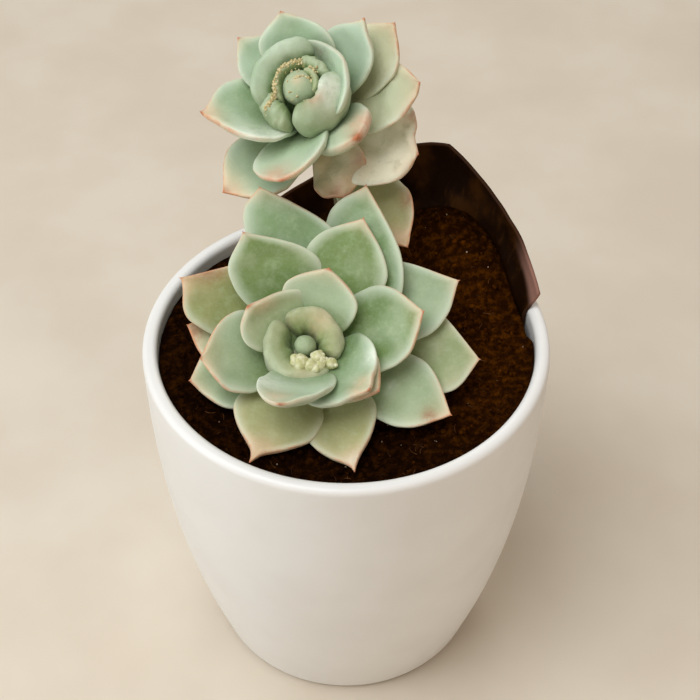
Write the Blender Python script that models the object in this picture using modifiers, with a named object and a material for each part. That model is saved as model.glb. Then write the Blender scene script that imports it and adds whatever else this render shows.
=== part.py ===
"""Potted graptoveria: two rosettes on woody stems, standing in a plain white pot.

Metres, +Z up.  The origin is the middle of the pot's flat base; +Y points to the back of the pot.
Rows that describe leaves are in millimetres and degrees.
"""
from collections import namedtuple
from math import acos, atan2, cos, exp, pi, radians, sin, sqrt

import bmesh
import bpy
from mathutils import Matrix, Vector

MM = 0.001
CLEARANCE = 0.3

# Pot
POT_HEIGHT = 120.0
RIM_RADIUS = 60.0
FOOT_RADIUS = 43.0
BELLY_POWER = 2.28
WALL = 4.4
FLOOR = 5.0
LIP_RADIUS = WALL / 2
LIP_CENTRE_Z = POT_HEIGHT - LIP_RADIUS
FOOT_ROUND = 3.5
POT_STEPS = 48

# Soil
SOIL_LEVEL = 112.0
SOIL_RISE_RIGHT = 5.0
SOIL_RISE_EDGE = 3.5
SOIL_MOUND = 13.0
MOUND_AZIMUTH = 52.0
MOUND_SPREAD = 24.0
SOIL_RINGS = 8
SOIL_SIDE_FOOT = 100.0
SOIL_SIDE_RINGS = 8
SOIL_LINER_GAP = 1.0
SETBACK_MARGIN = 12.0
SETBACK_BLEND = 4.0

# Liner: the thin brown sheet between the soil and the back of the pot.  Past the lip's middle it
# leans outward by LINER_LEAN, after a bend that carries it LINER_FLARE out over LINER_BEND.
LINER_THICK = 1.2
LINER_LEAN = 0.2
LINER_FLARE = 2.8
LINER_BEND = 5.5
LINER_FROM = 12.0
LINER_PEAK_AT = 60.0
LINER_TO = 112.0
LINER_LEVELS = (92.0, 105.0, 117.0, 118.5, 119.5, 120.5, 121.5, 123.0)
LINER_PEAK_Z = 149.0
LINER_RIGHT_Z = 126.0
LINER_LEFT_Z = 127.0
LINER_EDGE_POWER = 1.2
LINER_COLUMNS = 22
LINER_UPPER_ROWS = 8

# Leaves: sides round the leaf and rings along it, and where its root starts from the axis
LEAF_SIDES = 8
LEAF_RINGS = 10
ROOT_START = 2.5
ROOT_WIDTH = 0.34
ARC_SIDES = 8
ARC_RINGS = 11
BUD_SIDES = 8
BUD_RINGS = 5

Leaf = namedtuple("Leaf", "azimuth rise length width drop skew cup curl roll point widest thick",
                  defaults=(0, 0, 2.0, 20, 0, 1.4, 0.58, 4.5))
Arc = namedtuple("Arc", "start end radius height half_width half_height")
Bud = namedtuple("Bud", "azimuth radius height size")
Rosette = namedtuple("Rosette", "crown lean_front lean_left core_top core_foot core_radius leaves arcs buds")

# Each leaf: azimuth of its middle, rise above the rosette's plane, length and width, how far down the
# axis it is rooted, and how far its tip leans to the right of its middle, seen from the crown.
FRONT = Rosette(
    crown=(-11.5, -12.0, 123.0), lean_front=25, lean_left=0, core_top=7.0, core_foot=9.0, core_radius=4.5,
    leaves=[
        Leaf(265, 44, 32, 21, drop=-3, skew=4.5, cup=3, curl=30, point=0.9),
        Leaf(138, 40, 23.5, 22.5, drop=-3.5, skew=-4.5, cup=3.5, curl=30),
        Leaf(71, 40, 27, 22, drop=-3, cup=3, curl=25),
        Leaf(318.5, 36, 30.5, 26, drop=-3, skew=0.8, curl=25, widest=0.38),
        Leaf(326, 30, 30, 18, drop=-1, skew=1.5),
        Leaf(183, 26, 33, 25, skew=-4),
        Leaf(107, 26, 40, 26, skew=-8),
        Leaf(63, 26, 44, 25.5, drop=0.5, skew=-1.5),
        Leaf(13, 25, 38, 25.5, drop=-1),
        Leaf(248, 18, 39.5, 25, drop=2.5, skew=1.2, point=3.0, widest=0.5),
        Leaf(298, 18, 41, 22, drop=4, skew=5, point=2.2, widest=0.5),
        Leaf(340, 14, 47, 22, drop=3, skew=5),
        Leaf(34, 17, 50, 27, drop=4, skew=8.3),
        Leaf(9.5, 12, 50, 29.5, drop=5, skew=10.8, point=1.2, widest=0.62),
        Leaf(51.5, 28, 53, 29, drop=5, skew=-15.2, point=1.3, widest=0.6),
        Leaf(82.5, 30, 50, 31, drop=5.5, skew=-19.5, point=0.9),
        Leaf(128.5, 19, 42, 32, drop=5, skew=-15.5, point=1.6),
        Leaf(194, 14, 35.5, 22, drop=5),
        Leaf(164, 10, 37, 20, drop=6),
        Leaf(118, 12, 32, 20, drop=7),
        Leaf(42, 10, 35, 20, drop=7),
    ],
    arcs=[
        Arc(135, -32, 7.0, 9.0, 4.1, 6.0),
        Arc(142, 318, 8.0, 8.0, 4.4, 6.0),
    ],
    buds=[
        Bud(0, 0, 11.0, 2.9),
        Bud(307, 5.8, 13.0, 2.0),
        Bud(259, 6.5, 13.0, 2.5),
        Bud(282, 7.3, 13.0, 2.2),
        Bud(300, 8.0, 12.8, 1.8),
        Bud(319, 9.6, 12.5, 1.8),
    ])

BACK = Rosette(
    crown=(-9.3, 38.3, 174.3), lean_front=30, lean_left=12, core_top=12.0, core_foot=28.0, core_radius=4.5,
    leaves=[
        Leaf(97, 38, 29, 21, skew=-3, cup=3),
        Leaf(25, 50, 21.5, 24, drop=-1, cup=5, point=0.8),
        Leaf(137, 28, 31, 16, drop=3),
        Leaf(197, 28, 34, 27, drop=2, skew=4.5, cup=4, roll=-20, point=1.7, widest=0.5),
        Leaf(219, 12, 37, 22, drop=11),
        Leaf(257, 30, 32, 24, drop=3, cup=3, roll=-25, point=0.9),
        Leaf(314, 40, 29, 18, drop=5, cup=1, point=0.8, thick=7),
        Leaf(46, 34, 32, 18, drop=4, skew=-1, point=2.0),
        Leaf(40, 24, 36, 20, drop=8),
        Leaf(6, 20, 34, 22, drop=8),
        Leaf(338, 10, 32, 29, drop=16, skew=1),
        Leaf(290, 2, 25, 17, drop=13, skew=2, point=0.7, widest=0.6),
        Leaf(301, 0, 43, 20, drop=24, skew=-1),
        Leaf(108, 14, 26, 19, drop=9),
        Leaf(172, 10, 27, 18, drop=12),
    ],
    arcs=[
        Arc(205, 72, 11.0, 12.0, 3.8, 6.5),
        Arc(248, 182, 10.3, 10.5, 3.4, 6.0),
        Arc(250, 387, 9.0, 12.0, 3.9, 6.5),
        Arc(95, 15, 7.0, 13.0, 2.3, 4.5),
    ],
    buds=[
        Bud(180, 0.8, 13.5, 5.0),
    ])

# Stems: centreline points below the crown's foot, from the buried end up
STEM_RADIUS = 4.2
FRONT_STEM = [(-11.0, -6.0, 92.0), (-11.2, -6.5, 104.0)]
BACK_STEM = [(4.0, 45.0, 92.0), (3.0, 45.5, 110.0), (0.5, 49.0, 127.0)]
STEM_LEAD = 6.0
STEM_POINTS = 12

SHARP_ANGLE = 40.0

COLOURS = {
    "pot": ((0.86, 0.85, 0.83), 0.35),
    "soil": ((0.035, 0.018, 0.010), 0.95),
    "liner": ((0.045, 0.024, 0.018), 0.55),
    "front_stem": ((0.16, 0.13, 0.07), 0.8),
    "back_stem": ((0.16, 0.13, 0.07), 0.8),
    "front_rosette": ((0.36, 0.50, 0.32), 0.5),
    "back_rosette": ((0.42, 0.53, 0.38), 0.5),
}


def clear_scene():
    for old in list(bpy.data.objects):
        bpy.data.objects.remove(old, do_unlink=True)


def new_collection(name):
    collection = bpy.data.collections.new(name)
    bpy.context.scene.collection.children.link(collection)
    return collection


def material(name):
    colour, roughness = COLOURS[name]
    made = bpy.data.materials.new(name)
    made.use_nodes = True
    shader = made.node_tree.nodes["Principled BSDF"]
    shader.inputs["Base Color"].default_value = (*colour, 1.0)
    shader.inputs["Roughness"].default_value = roughness
    shader.inputs["Metallic"].default_value = 0.0
    return made


def add_mesh(name, bm, collection):
    """Turn a bmesh in millimetres into an object in metres."""
    bmesh.ops.scale(bm, vec=(MM, MM, MM), verts=bm.verts)
    mesh = bpy.data.meshes.new(name)
    bm.to_mesh(mesh)
    bm.free()
    made = bpy.data.objects.new(name, mesh)
    collection.objects.link(made)
    return made


def bake(thing):
    """Put an object's evaluated shape into a mesh of its own and drop its modifiers."""
    evaluated = thing.evaluated_get(bpy.context.evaluated_depsgraph_get())
    mesh = bpy.data.meshes.new_from_object(evaluated)
    thing.modifiers.clear()
    thing.data = mesh
    return thing


def finish(thing):
    thing.data.materials.clear()
    thing.data.materials.append(material(thing.name))
    thing.data.shade_smooth()
    thing.data.set_sharp_from_angle(angle=radians(SHARP_ANGLE))


def smooth(t):
    t = min(max(t, 0.0), 1.0)
    return t * t * (3 - 2 * t)


# Pot

def pot_outer(z):
    down = (POT_HEIGHT - z) / POT_HEIGHT
    return FOOT_RADIUS + (RIM_RADIUS - FOOT_RADIUS) * (1 - down ** BELLY_POWER)


def pot_inner(z):
    return pot_outer(z) - WALL


def pot_profile():
    """From the middle of the inner floor, up the inside, over the lip and down to the base."""
    points = [(0.0, FLOOR), (pot_inner(FLOOR) - FOOT_ROUND, FLOOR)]
    points += [(pot_inner(z), z) for z in (FLOOR + FOOT_ROUND, 25, 45, 65, 85, 103)]
    lip_x = RIM_RADIUS - LIP_RADIUS
    for step in range(7):
        turn = pi - pi * step / 6
        points.append((lip_x + LIP_RADIUS * cos(turn), LIP_CENTRE_Z + LIP_RADIUS * sin(turn)))
    points += [(pot_outer(z), z) for z in (105, 90, 75, 60, 45, 32, 20, 10, FOOT_ROUND)]
    foot_x = pot_outer(FOOT_ROUND) - FOOT_ROUND
    for step in range(1, 4):
        turn = -0.5 * pi * step / 3
        points.append((foot_x + FOOT_ROUND * cos(turn), FOOT_ROUND + FOOT_ROUND * sin(turn)))
    return points + [(0.0, 0.0)]


def turn_profile(name, points, steps, collection):
    bm = bmesh.new()
    verts = [bm.verts.new((x, 0, z)) for x, z in points]
    for first, second in zip(verts, verts[1:]):
        bm.edges.new((first, second))
    made = add_mesh(name, bm, collection)
    screw = made.modifiers.new("Turn", "SCREW")
    screw.axis = "Z"
    screw.steps = steps
    screw.render_steps = steps
    screw.use_merge_vertices = True
    screw.merge_threshold = 0.00001
    return bake(made)


# Liner

def liner_radius(z):
    """Middle of the sheet: up the inner wall, then out over the lip and on at a slight lean."""
    wall_side = pot_inner(min(z, LIP_CENTRE_Z)) - CLEARANCE - LINER_THICK / 2
    above = max(0.0, z - LIP_CENTRE_Z)
    return wall_side + LINER_LEAN * above + LINER_FLARE * (1 - exp(-(above / LINER_BEND) ** 2))


def liner_top(azimuth):
    if azimuth < LINER_PEAK_AT:
        climb = (azimuth - LINER_FROM) / (LINER_PEAK_AT - LINER_FROM)
        return LINER_RIGHT_Z + (LINER_PEAK_Z - LINER_RIGHT_Z) * climb ** LINER_EDGE_POWER
    fall = (azimuth - LINER_PEAK_AT) / (LINER_TO - LINER_PEAK_AT)
    return LINER_PEAK_Z - (LINER_PEAK_Z - LINER_LEFT_Z) * fall ** LINER_EDGE_POWER


def liner_row_z(row, azimuth):
    """Rows lie close together where the sheet bends over the lip."""
    if row < len(LINER_LEVELS):
        return LINER_LEVELS[row]
    share = (row - len(LINER_LEVELS) + 1) / LINER_UPPER_ROWS
    return LINER_LEVELS[-1] + (liner_top(azimuth) - LINER_LEVELS[-1]) * share


def make_liner(collection):
    rows = len(LINER_LEVELS) - 1 + LINER_UPPER_ROWS
    bm = bmesh.new()
    bmesh.ops.create_grid(bm, x_segments=LINER_COLUMNS, y_segments=rows, size=0.5)
    for vert in bm.verts:
        azimuth = LINER_TO + (LINER_FROM - LINER_TO) * (vert.co.x + 0.5)
        z = liner_row_z(round((vert.co.y + 0.5) * rows), azimuth)
        radius = liner_radius(z)
        vert.co = (radius * cos(radians(azimuth)), radius * sin(radians(azimuth)), z)
    made = add_mesh("liner", bm, collection)
    shell = made.modifiers.new("Thickness", "SOLIDIFY")
    shell.thickness = LINER_THICK * MM
    shell.offset = 0.0
    shell.use_even_offset = True
    return bake(made)


# Soil

def behind_liner(azimuth):
    """1 where the liner stands and a margin past its ends, else 0."""
    right = smooth((azimuth - LINER_FROM + SETBACK_MARGIN) / SETBACK_BLEND)
    return right * smooth((LINER_TO + SETBACK_MARGIN - azimuth) / SETBACK_BLEND)


def soil_height(x, y):
    """Lowest under the front rosette, up to the right and the rim, and heaped against the liner."""
    reach = sqrt(x * x + y * y) / RIM_RADIUS
    azimuth = atan2(y, x) * 180 / pi
    turn = (azimuth - MOUND_AZIMUTH + 180) % 360 - 180
    mound = SOIL_MOUND * exp(-(turn / MOUND_SPREAD) ** 2) * smooth((reach - 0.45) / 0.5)
    right = smooth((x - 8) / 42)
    edge = smooth((reach - 0.6) / 0.35) * (1 - right) * (1 - 0.6 * smooth((-y - 20) / 30))
    return SOIL_LEVEL + SOIL_RISE_RIGHT * right + SOIL_RISE_EDGE * edge + mound


def soil_edge(azimuth, z):
    """Radius of the soil's side: against the pot's wall, or against the liner where that stands."""
    wall_gap = CLEARANCE + behind_liner(azimuth) * (LINER_THICK + 2 * CLEARANCE)
    if z <= LIP_CENTRE_Z:
        return pot_inner(z) - wall_gap
    return liner_radius(z) - LINER_THICK / 2 - SOIL_LINER_GAP


def make_soil(stem_paths, collection, cutters):
    low = FLOOR + CLEARANCE
    top = [(ring / SOIL_RINGS, SOIL_LEVEL) for ring in range(SOIL_RINGS + 1)]
    side_drop = (SOIL_LEVEL - SOIL_SIDE_FOOT) / SOIL_SIDE_RINGS
    side = [(1.0, SOIL_LEVEL - side_drop * ring) for ring in range(1, SOIL_SIDE_RINGS + 1)]
    side += [(1.0, z) for z in (85, 65, 45, 25, FLOOR + FOOT_ROUND)]
    made = turn_profile("soil", top + side + [(0.9, low), (0.0, low)], POT_STEPS, collection)
    for vert in made.data.vertices:
        share = sqrt(vert.co.x ** 2 + vert.co.y ** 2) / MM
        heading = atan2(vert.co.y, vert.co.x)
        azimuth = heading * 180 / pi
        z = vert.co.z / MM
        edge_z = soil_height(RIM_RADIUS * cos(heading), RIM_RADIUS * sin(heading))
        if z > SOIL_LEVEL - side_drop / 2:
            radius = share * soil_edge(azimuth, edge_z)
            z = soil_height(share * RIM_RADIUS * cos(heading), share * RIM_RADIUS * sin(heading))
        else:
            stretch = (edge_z - SOIL_SIDE_FOOT) / (SOIL_LEVEL - SOIL_SIDE_FOOT)
            z += (stretch - 1) * max(0.0, z - SOIL_SIDE_FOOT)
            radius = share * soil_edge(azimuth, z)
        vert.co = Vector((radius * cos(heading), radius * sin(heading), z)) * MM
    for name, path in stem_paths.items():
        deeper = path[0] + (path[0] - path[1]).normalized() * CLEARANCE
        hole = add_stem(name + "_hole", [deeper] + path[1:], cutters, grow=CLEARANCE)
        hole.hide_render = True
        hole.display_type = "WIRE"
        cut = made.modifiers.new("Hole for " + name, "BOOLEAN")
        cut.operation = "DIFFERENCE"
        cut.object = hole
    return bake(made)


# Rosettes

def rosette_axes(rosette):
    """The rosette's own frame: axis up through the bud, azimuth 0 to the right."""
    axis = Vector((-sin(radians(rosette.lean_left)), -sin(radians(rosette.lean_front)), 0))
    axis.z = sqrt(1 - axis.length_squared)
    right = (Vector((1, 0, 0)) - axis * axis.x).normalized()
    return axis, right, axis.cross(right)


def leaf_half_width(along, leaf):
    if along < leaf.widest:
        return ROOT_WIDTH + (1 - ROOT_WIDTH) * sin(0.5 * pi * along / leaf.widest) ** 1.4
    past = (along - leaf.widest) / (1 - leaf.widest)
    return max(0.0, 1 - past ** 2.8) ** leaf.point


def leaf_half_thickness(along):
    return (0.7 + 0.3 * sin(pi * along)) * sqrt(max(0.0, 1 - along ** 5))


def leaf_point(along, around, leaf):
    """A point of the leaf: x across, y outward from the axis, z along the axis."""
    rise, curl = radians(leaf.rise), radians(leaf.curl)
    closed = along <= 0 or along >= 1
    half = 0 if closed else leaf_half_width(along, leaf) * leaf.width / 2
    thick = 0 if closed else leaf_half_thickness(along) * leaf.thick / 2
    x = half * cos(around)
    z = thick * sin(around) * (0.7 if sin(around) > 0 else 1.3)
    z += leaf.cup * (2 * x / leaf.width) ** 2
    roll = radians(leaf.roll)
    x, z = x * cos(roll) - z * sin(roll), x * sin(roll) + z * cos(roll)
    blade = leaf.length - ROOT_START
    heading = rise + curl * (along - 0.5)
    start = rise - curl * 0.5
    out = (sin(heading) - sin(start)) / curl * blade
    up = (cos(start) - cos(heading)) / curl * blade
    lean = leaf.skew * max(0.0, (along - 0.3) / 0.7) ** 2
    return Vector((x + lean,
                   ROOT_START * cos(rise) + out - z * sin(heading),
                   ROOT_START * sin(rise) + up + z * cos(heading)))


def along_and_around(co):
    """Where a point of the unit sphere lies between its poles, 0 to 1, and round its axis."""
    return 1 - acos(max(-1.0, min(1.0, co.z))) / pi, atan2(co.y, co.x)


def add_leaf(name, leaf, rosette, collection):
    axis, right, back = rosette_axes(rosette)
    azimuth = radians(leaf.azimuth)
    outward = right * cos(azimuth) + back * sin(azimuth)
    across = outward.cross(axis)
    root = Vector(rosette.crown) - axis * leaf.drop
    bm = bmesh.new()
    bmesh.ops.create_uvsphere(bm, u_segments=LEAF_SIDES, v_segments=LEAF_RINGS, radius=1)
    for vert in bm.verts:
        p = leaf_point(*along_and_around(vert.co), leaf)
        vert.co = root + across * p.x + outward * p.y + axis * p.z
    return add_mesh(name, bm, collection)


def add_arc(name, arc, rosette, collection):
    """A young leaf curled round the bud: a thick crescent standing on the crown."""
    axis, right, back = rosette_axes(rosette)
    bm = bmesh.new()
    bmesh.ops.create_uvsphere(bm, u_segments=ARC_SIDES, v_segments=ARC_RINGS, radius=1)
    for vert in bm.verts:
        along, around = along_and_around(vert.co)
        azimuth = radians(arc.start + (arc.end - arc.start) * along)
        fat = sqrt(max(0.0, 1 - abs(2 * along - 1) ** 3.4))
        outward = right * cos(azimuth) + back * sin(azimuth)
        vert.co = (Vector(rosette.crown)
                   + outward * (arc.radius + arc.half_width * fat * cos(around))
                   + axis * (arc.height + arc.half_height * fat * sin(around)))
    return add_mesh(name, bm, collection)


def add_bud(name, bud, rosette, collection):
    axis, right, back = rosette_axes(rosette)
    azimuth = radians(bud.azimuth)
    centre = (Vector(rosette.crown) + axis * bud.height
              + (right * cos(azimuth) + back * sin(azimuth)) * bud.radius)
    turn = Matrix((right, back, axis)).transposed()
    bm = bmesh.new()
    bmesh.ops.create_uvsphere(bm, u_segments=BUD_SIDES, v_segments=BUD_RINGS, radius=bud.size)
    for vert in bm.verts:
        vert.co = centre + turn @ vert.co
    return add_mesh(name, bm, collection)


def add_core(name, rosette, collection):
    """The crown and its leafy stem, which the leaves are rooted in."""
    axis, right, back = rosette_axes(rosette)
    depth = rosette.core_top + rosette.core_foot
    middle = Vector(rosette.crown) + axis * (rosette.core_top - depth / 2)
    turn = Matrix((right, back, axis)).transposed()
    bm = bmesh.new()
    bmesh.ops.create_cone(bm, cap_ends=True, segments=12, radius1=rosette.core_radius,
                          radius2=rosette.core_radius, depth=depth)
    for vert in bm.verts:
        vert.co = middle + turn @ vert.co
    return add_mesh(name, bm, collection)


def skin_volume(faces):
    total = 0.0
    for face in faces:
        first = face.verts[0].co
        for second, third in zip(face.verts[1:], face.verts[2:]):
            total += first.dot(second.co.cross(third.co)) / 6
    return total


def keep_outer_skin(made):
    """Fusing can seal small hollows between leaves: drop their skins, so that they are solid."""
    bm = bmesh.new()
    bm.from_mesh(made.data)
    left = set(bm.faces)
    skins = []
    while left:
        front = [left.pop()]
        skin = set(front)
        while front:
            face = front.pop()
            for edge in face.edges:
                for near in edge.link_faces:
                    if near in left:
                        left.remove(near)
                        skin.add(near)
                        front.append(near)
        skins.append(skin)
    skins.sort(key=skin_volume)
    for skin in skins[:-1]:
        bmesh.ops.delete(bm, geom=list(skin), context="FACES")
    bm.to_mesh(made.data)
    bm.free()


def make_rosette(name, rosette, collection):
    """Fuse all leaves, curled young leaves and buds with the crown."""
    made = add_core(name, rosette, collection)
    growth = new_collection(name + " growth")
    for number, leaf in enumerate(rosette.leaves):
        add_leaf(f"{name}_leaf_{number}", leaf, rosette, growth)
    for number, arc in enumerate(rosette.arcs):
        add_arc(f"{name}_arc_{number}", arc, rosette, growth)
    for number, bud in enumerate(rosette.buds):
        add_bud(f"{name}_bud_{number}", bud, rosette, growth)
    join = made.modifiers.new("Join", "BOOLEAN")
    join.operation = "UNION"
    join.operand_type = "COLLECTION"
    join.collection = growth
    bake(made)
    keep_outer_skin(made)
    for grown in list(growth.objects):
        bpy.data.objects.remove(grown, do_unlink=True)
    bpy.data.collections.remove(growth)
    return made


# Stems

def stem_path(points, rosette):
    """One smooth bend through the soil, then straight up the rosette's axis to just under its foot."""
    axis = rosette_axes(rosette)[0]
    foot = Vector(rosette.crown) - axis * (rosette.core_foot + CLEARANCE)
    bends = [Vector(point) for point in points] + [foot - axis * STEM_LEAD]
    return [bezier(bends, step / STEM_POINTS) for step in range(STEM_POINTS + 1)] + [foot]


def bezier(points, t):
    while len(points) > 1:
        points = [a.lerp(b, t) for a, b in zip(points, points[1:])]
    return points[0]


def add_stem(name, path, collection, grow=0.0):
    curve = bpy.data.curves.new(name, "CURVE")
    curve.dimensions = "3D"
    curve.bevel_depth = (STEM_RADIUS + grow) * MM
    curve.bevel_resolution = 2
    curve.use_fill_caps = True
    spline = curve.splines.new("POLY")
    spline.points.add(len(path) - 1)
    for point, place in zip(spline.points, path):
        point.co = (*(Vector(place) * MM), 1.0)
    made = bpy.data.objects.new(name, curve)
    collection.objects.link(made)
    return to_mesh(made, collection)


def to_mesh(made, collection):
    """Replace a curve object by its mesh, with the caps welded on."""
    evaluated = made.evaluated_get(bpy.context.evaluated_depsgraph_get())
    mesh = bpy.data.meshes.new_from_object(evaluated)
    bm = bmesh.new()
    bm.from_mesh(mesh)
    bmesh.ops.remove_doubles(bm, verts=bm.verts, dist=0.000001)
    bmesh.ops.recalc_face_normals(bm, faces=bm.faces)
    bm.to_mesh(mesh)
    bm.free()
    name = made.name
    place = made.matrix_world.copy()
    bpy.data.objects.remove(made, do_unlink=True)
    solid = bpy.data.objects.new(name, mesh)
    solid.matrix_world = place
    collection.objects.link(solid)
    return solid


def main():
    clear_scene()
    parts = new_collection("Potted graptoveria")
    cutters = new_collection("Cutters")
    pot = turn_profile("pot", pot_profile(), POT_STEPS, parts)
    liner = make_liner(parts)
    front_rosette = make_rosette("front_rosette", FRONT, parts)
    back_rosette = make_rosette("back_rosette", BACK, parts)
    stem_paths = {"front_stem": stem_path(FRONT_STEM, FRONT), "back_stem": stem_path(BACK_STEM, BACK)}
    stems = [add_stem(name, path, parts) for name, path in stem_paths.items()]
    soil = make_soil(stem_paths, parts, cutters)
    for thing in (pot, soil, liner, front_rosette, back_rosette, *stems):
        finish(thing)


main()
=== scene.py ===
from collections import namedtuple
from math import atan2, cos, exp, pi, radians, sin, sqrt
from random import Random

import bmesh
import bpy
import numpy as np
from mathutils import Matrix, Vector, noise
from mathutils.bvhtree import BVHTree


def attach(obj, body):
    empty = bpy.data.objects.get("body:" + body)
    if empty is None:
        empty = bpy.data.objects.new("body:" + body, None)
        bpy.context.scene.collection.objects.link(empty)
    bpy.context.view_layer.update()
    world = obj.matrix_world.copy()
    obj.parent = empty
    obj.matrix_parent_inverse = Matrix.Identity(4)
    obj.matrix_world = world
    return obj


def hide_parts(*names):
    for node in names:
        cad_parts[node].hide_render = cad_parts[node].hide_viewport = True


# The looks of a potted graptoveria: two rosettes on woody stems, soil, a brown liner, a white pot.
# Unless a comment says otherwise, lengths are in millimetres, the angles in tables and constants
# in degrees, and turns and headings in radians.

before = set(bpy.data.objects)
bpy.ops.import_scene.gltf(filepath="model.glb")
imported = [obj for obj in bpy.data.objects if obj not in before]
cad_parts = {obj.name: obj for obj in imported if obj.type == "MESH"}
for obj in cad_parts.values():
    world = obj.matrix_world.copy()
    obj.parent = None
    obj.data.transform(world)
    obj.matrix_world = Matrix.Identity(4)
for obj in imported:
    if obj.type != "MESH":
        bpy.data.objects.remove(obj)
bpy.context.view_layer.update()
MM = 0.001

# Pot, as in the solid
POT_HEIGHT = 120.0
RIM_RADIUS = 60.0
FOOT_RADIUS = 43.0
BELLY_POWER = 2.28
WALL = 4.4
FLOOR = 5.0
LIP_RADIUS = WALL / 2
LIP_CENTRE_Z = POT_HEIGHT - LIP_RADIUS
LIP_POWER = 0.8
FOOT_ROUND = 3.5
CLEARANCE = 0.3

# Liner
LINER_THICK = 1.2
LINER_SKIN = 1.0
LINER_LEAN = 0.2
LINER_FLARE = 2.8
LINER_BEND = 5.5
LINER_FROM = 12.0
LINER_PEAK_AT = 60.0
# The left end runs on behind the rosettes further than the film shows, so that the dark film also
# stands for the shade in the gap between them.
LINER_TO = 112.0
LINER_FOOT_Z = 92.0
LINER_PEAK_Z = 149.0
LINER_RIGHT_Z = 126.0
LINER_LEFT_Z = 127.0
LINER_EDGE_POWER = 1.2
LINER_FREE_Z = 122.0
# Azimuth up to which a painted highlight runs along the top of the liner's right end
LINER_HIGHLIGHT_TO = 32.0
ARC_OF_DEGREE = 1.05

# Soil
SOIL_LEVEL = 112.0
SOIL_RISE_RIGHT = 5.0
SOIL_RISE_EDGE = 3.5
SOIL_MOUND = 13.0
SOIL_LINER_GAP = 0.7
SOIL_WALL_GAP = 0.6
MOUND_AZIMUTH = 52.0
MOUND_SPREAD = 24.0
SETBACK_MARGIN = 12.0
SETBACK_BLEND = 4.0
SIDE_FOOT_Z = 90.0
SIDE_STEPS = (0.06, 0.15, 0.3, 0.5, 0.75, 1.0)
LOW_LEVELS = (60.0, 30.0, FLOOR + FOOT_ROUND)
LUMP_COUNT = 900
FIBRE_COUNT = 150
FIBRE_REACH = 52.5
GRIT_COUNT = 90

# Leaves, and the young leaves curled round each bud
ROOT_START = 2.5
ROOT_WIDTH = 0.34
LEAF_SIDES = 36
LEAF_RINGS = 48
SECTION_POWER = 2.5
BODY_END = 0.99
TIP_FROM = 0.88
TIP_STRAIGHT = 0.7
SPIKE_RADIUS = 0.3
SPIKE_LENGTH = 0.02
UPPER_SHARE = 0.7
LOWER_SHARE = 1.3
WAVE_SIZE = 11.0
DENT_SIZE = 5.0
MARGIN_SIZE = 7.0
ARC_POWER = 0.75
PATCH_SPREAD = 0.16
CRUMB_START = 40.0

# A leaf's place and shape, and how green its middle is, how olive, how pink its rim and tip. By
# name, where unusual: more of its shape, how old, how wavy, and spots of (kind, along, side, size).
Leaf = namedtuple("Leaf", "azimuth rise length width drop skew green warm blush "
                          "cup curl roll point widest thick age wave spots",
                  defaults=(2.0, 20, 0, 1.4, 0.58, 4.5, 0.0, 0.55, ()))
Arc = namedtuple("Arc", "start end radius height half_width half_height")
Bud = namedtuple("Bud", "azimuth radius height size")
Rosette = namedtuple("Rosette", "crown lean_front lean_left core_top core_foot core_radius "
                                "leaves arcs buds")

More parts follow.
